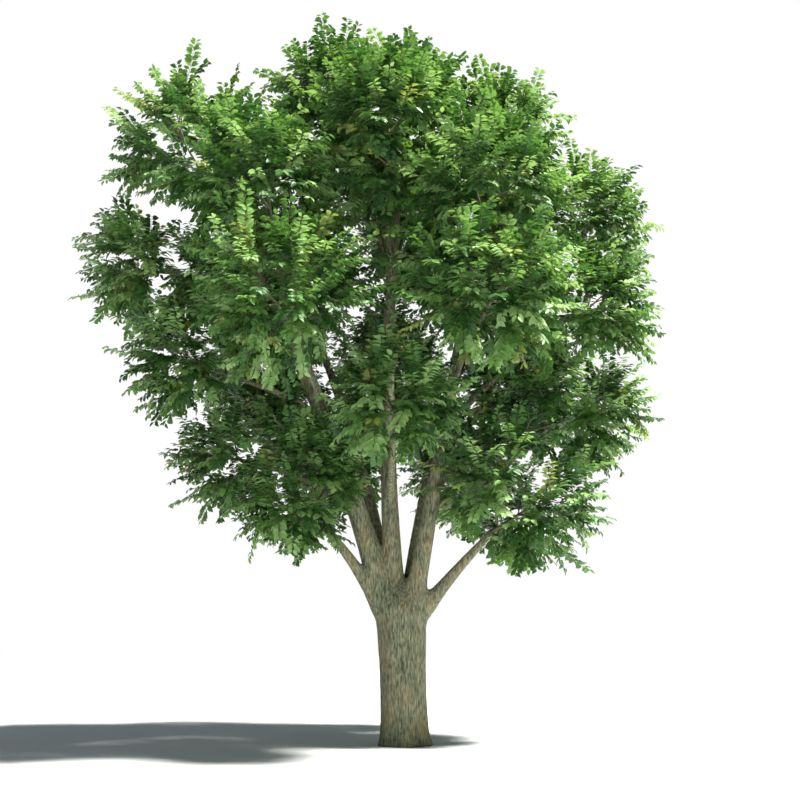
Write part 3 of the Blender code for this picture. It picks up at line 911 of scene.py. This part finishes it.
def leaf_material(name, color, glow):
    """A leaf's own green, and the light that comes through it."""
    material, tree, shader = principled(name, *LEAF_FINISH)
    shader.inputs["Base Color"].default_value = (*color, 1)
    through = tree.nodes.new("ShaderNodeBsdfTranslucent")
    through.inputs["Color"].default_value = (*glow, 1)
    mix = tree.nodes.new("ShaderNodeMixShader")
    mix.inputs["Fac"].default_value = LEAF_THROUGH
    tree.links.new(shader.outputs["BSDF"], mix.inputs[1])
    tree.links.new(through.outputs["BSDF"], mix.inputs[2])
    tree.links.new(mix.outputs["Shader"], tree.nodes["Material Output"].inputs["Surface"])
    return material


class Pattern:
    """Adds the nodes of a pattern that lies on its object's own coordinates."""

    def __init__(self, tree):
        self.nodes = tree.nodes
        self.link = tree.links.new
        self.coordinates = self.nodes.new("ShaderNodeTexCoord").outputs["Object"]

    def noise(self, scale, stretch, detail):
        mapping = self.nodes.new("ShaderNodeMapping")
        mapping.inputs["Scale"].default_value = (scale, scale, scale / stretch)
        self.link(self.coordinates, mapping.inputs["Vector"])
        pattern = self.nodes.new("ShaderNodeTexNoise")
        pattern.inputs["Scale"].default_value = 1
        pattern.inputs["Detail"].default_value = detail
        self.link(mapping.outputs["Vector"], pattern.inputs["Vector"])
        return pattern.outputs["Fac"]

    def ramp(self, value, stops):
        node = self.nodes.new("ShaderNodeValToRGB")
        while len(node.color_ramp.elements) < len(stops):
            node.color_ramp.elements.new(0.5)
        for element, (at, color) in zip(node.color_ramp.elements, stops):
            element.position = at
            element.color = (*color, 1)
        self.link(value, node.inputs["Fac"])
        return node.outputs["Color"]

    def mixed(self, amount, a, b):
        node = self.nodes.new("ShaderNodeMix")
        node.data_type = "RGBA"
        if isinstance(amount, float):
            node.inputs["Factor"].default_value = amount
        else:
            self.link(amount, node.inputs["Factor"])
        self.link(a, node.inputs["A"])
        self.link(b, node.inputs["B"])
        return node.outputs["Result"]

    def bump(self, height, strength, distance):
        node = self.nodes.new("ShaderNodeBump")
        node.inputs["Strength"].default_value = strength
        node.inputs["Distance"].default_value = distance
        self.link(height, node.inputs["Height"])
        return node.outputs["Normal"]

    def fading_up(self, top, most):
        """From most at the ground to nothing at this height."""
        separate = self.nodes.new("ShaderNodeSeparateXYZ")
        self.link(self.coordinates, separate.inputs["Vector"])
        fade = self.nodes.new("ShaderNodeMapRange")
        fade.inputs["From Min"].default_value = 0.0
        fade.inputs["From Max"].default_value = top
        fade.inputs["To Min"].default_value = most
        fade.inputs["To Max"].default_value = 0.0
        self.link(separate.outputs["Z"], fade.inputs["Value"])
        return fade.outputs["Result"]

    def product(self, a, b):
        node = self.nodes.new("ShaderNodeMath")
        node.operation = "MULTIPLY"
        self.link(a, node.inputs[0])
        self.link(b, node.inputs[1])
        return node.outputs["Value"]


def bark_material(name):
    """Grey-brown bark with fine upright fibres, tan and olive patches, and a little moss at the foot."""
    material, tree, shader = principled(name, *BARK_FINISH)
    pattern = Pattern(tree)
    fibres = pattern.ramp(pattern.noise(*FIBRES), FIBRE_COLORS)
    patches = pattern.ramp(pattern.noise(*PATCHES), PATCH_COLORS)
    bark = pattern.mixed(PATCH_SHARE, fibres, patches)
    relief = pattern.bump(pattern.noise(*GRAIN), GRAIN_BUMP, GRAIN_DEPTH)
    tree.links.new(relief, shader.inputs["Normal"])
    moss = pattern.ramp(pattern.noise(*MOSS), MOSS_COLORS)
    cover = pattern.product(pattern.fading_up(MOSS_TOP, MOSS_MOST), pattern.noise(*MOSS_COVER))
    tree.links.new(pattern.mixed(cover, bark, moss), shader.inputs["Base Color"])
    return material


def dress(piece, nodes):
    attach(piece, "root")
    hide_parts(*nodes)


def make_foliage(lines, bark):
    rng = np.random.default_rng(SEED)
    twigs = grow(lines, rng)
    masses = ["foliage_" + name for name in MASSES]
    dress(new_mesh_object("twigs", *twig_mesh(twigs), bark), masses)
    places, headings, owners, outs, sizes = leaf_stations(twigs)
    shares = [share for _, _, share in LEAF_TINTS.values()]
    tints = rng.choice(len(shares), len(twigs), p=np.array(shares) / sum(shares))
    for k, (name, (color, glow, _)) in enumerate(LEAF_TINTS.items()):
        own = tints[owners] == k
        mesh = leaf_mesh(places[own], headings[own], outs[own], sizes[own], rng)
        material = leaf_material(name, color, glow)
        dress(new_mesh_object(name, *mesh, material, smooth=False), masses)


def make_floor():
    material, _, shader = principled("floor", *FLOOR_FINISH)
    shader.inputs["Base Color"].default_value = (*FLOOR_COLOR, 1)
    corners = FLOOR_REACH * np.array(((-1, -1, 0), (1, -1, 0), (1, 1, 0), (-1, 1, 0)), float)
    new_mesh_object("floor", corners, ((0, 1, 2, 3),), material, smooth=False)


def make_sky():
    """A pale blue sky that lights the tree, behind a plain white backdrop."""
    world = bpy.data.worlds.new("studio")
    world.use_nodes = True
    tree = world.node_tree
    light = tree.nodes["Background"]
    light.inputs["Color"].default_value = (*SKY_COLOR, 1)
    light.inputs["Strength"].default_value = SKY_STRENGTH
    backdrop = tree.nodes.new("ShaderNodeBackground")
    backdrop.inputs["Color"].default_value = (*BACKDROP_COLOR, 1)
    path = tree.nodes.new("ShaderNodeLightPath")
    mix = tree.nodes.new("ShaderNodeMixShader")
    tree.links.new(path.outputs["Is Camera Ray"], mix.inputs["Fac"])
    tree.links.new(light.outputs["Background"], mix.inputs[1])
    tree.links.new(backdrop.outputs["Background"], mix.inputs[2])
    tree.links.new(mix.outputs["Shader"], tree.nodes["World Output"].inputs["Surface"])
    bpy.context.scene.world = world


def make_sun():
    sun = bpy.data.lights.new("key", "SUN")
    sun.energy = SUN_ENERGY
    sun.angle = SUN_ANGLE
    sun.color = SUN_COLOR
    lamp = bpy.data.objects.new("key", sun)
    lamp.matrix_world = Matrix.Rotation(SUN_TURN, 4, "Z") @ Matrix.Rotation(SUN_LEAN, 4, "X")
    bpy.context.scene.collection.objects.link(lamp)


def make_camera():
    camera = bpy.data.objects.new("camera", bpy.data.cameras.new("camera"))
    camera.data.lens = LENS
    turn = Matrix.Rotation(math.pi / 2 + CAMERA_PITCH, 4, "X")
    camera.matrix_world = Matrix.Translation(CAMERA_AT) @ turn
    bpy.context.scene.collection.objects.link(camera)
    bpy.context.scene.camera = camera


def make_stage():
    make_floor()
    make_sky()
    make_sun()
    make_camera()
    bpy.context.scene.view_settings.view_transform = "Standard"


def main():
    make_stage()
    stems = stem_lines()
    sides = side_lines(stems)
    bark = bark_material("bark")
    boughs = ["bough_" + name for name in STEMS]
    trunk_skin, lasts = lower_bark(stems, bark)
    dress(trunk_skin, ["trunk"] + boughs)
    limb_skins = upper_bark(stems, sides, lasts, bark)
    dress(limb_skins, boughs + ["limb_" + name for name in SIDE_LIMBS])
    make_foliage({**stems, **sides}, bark)


main()
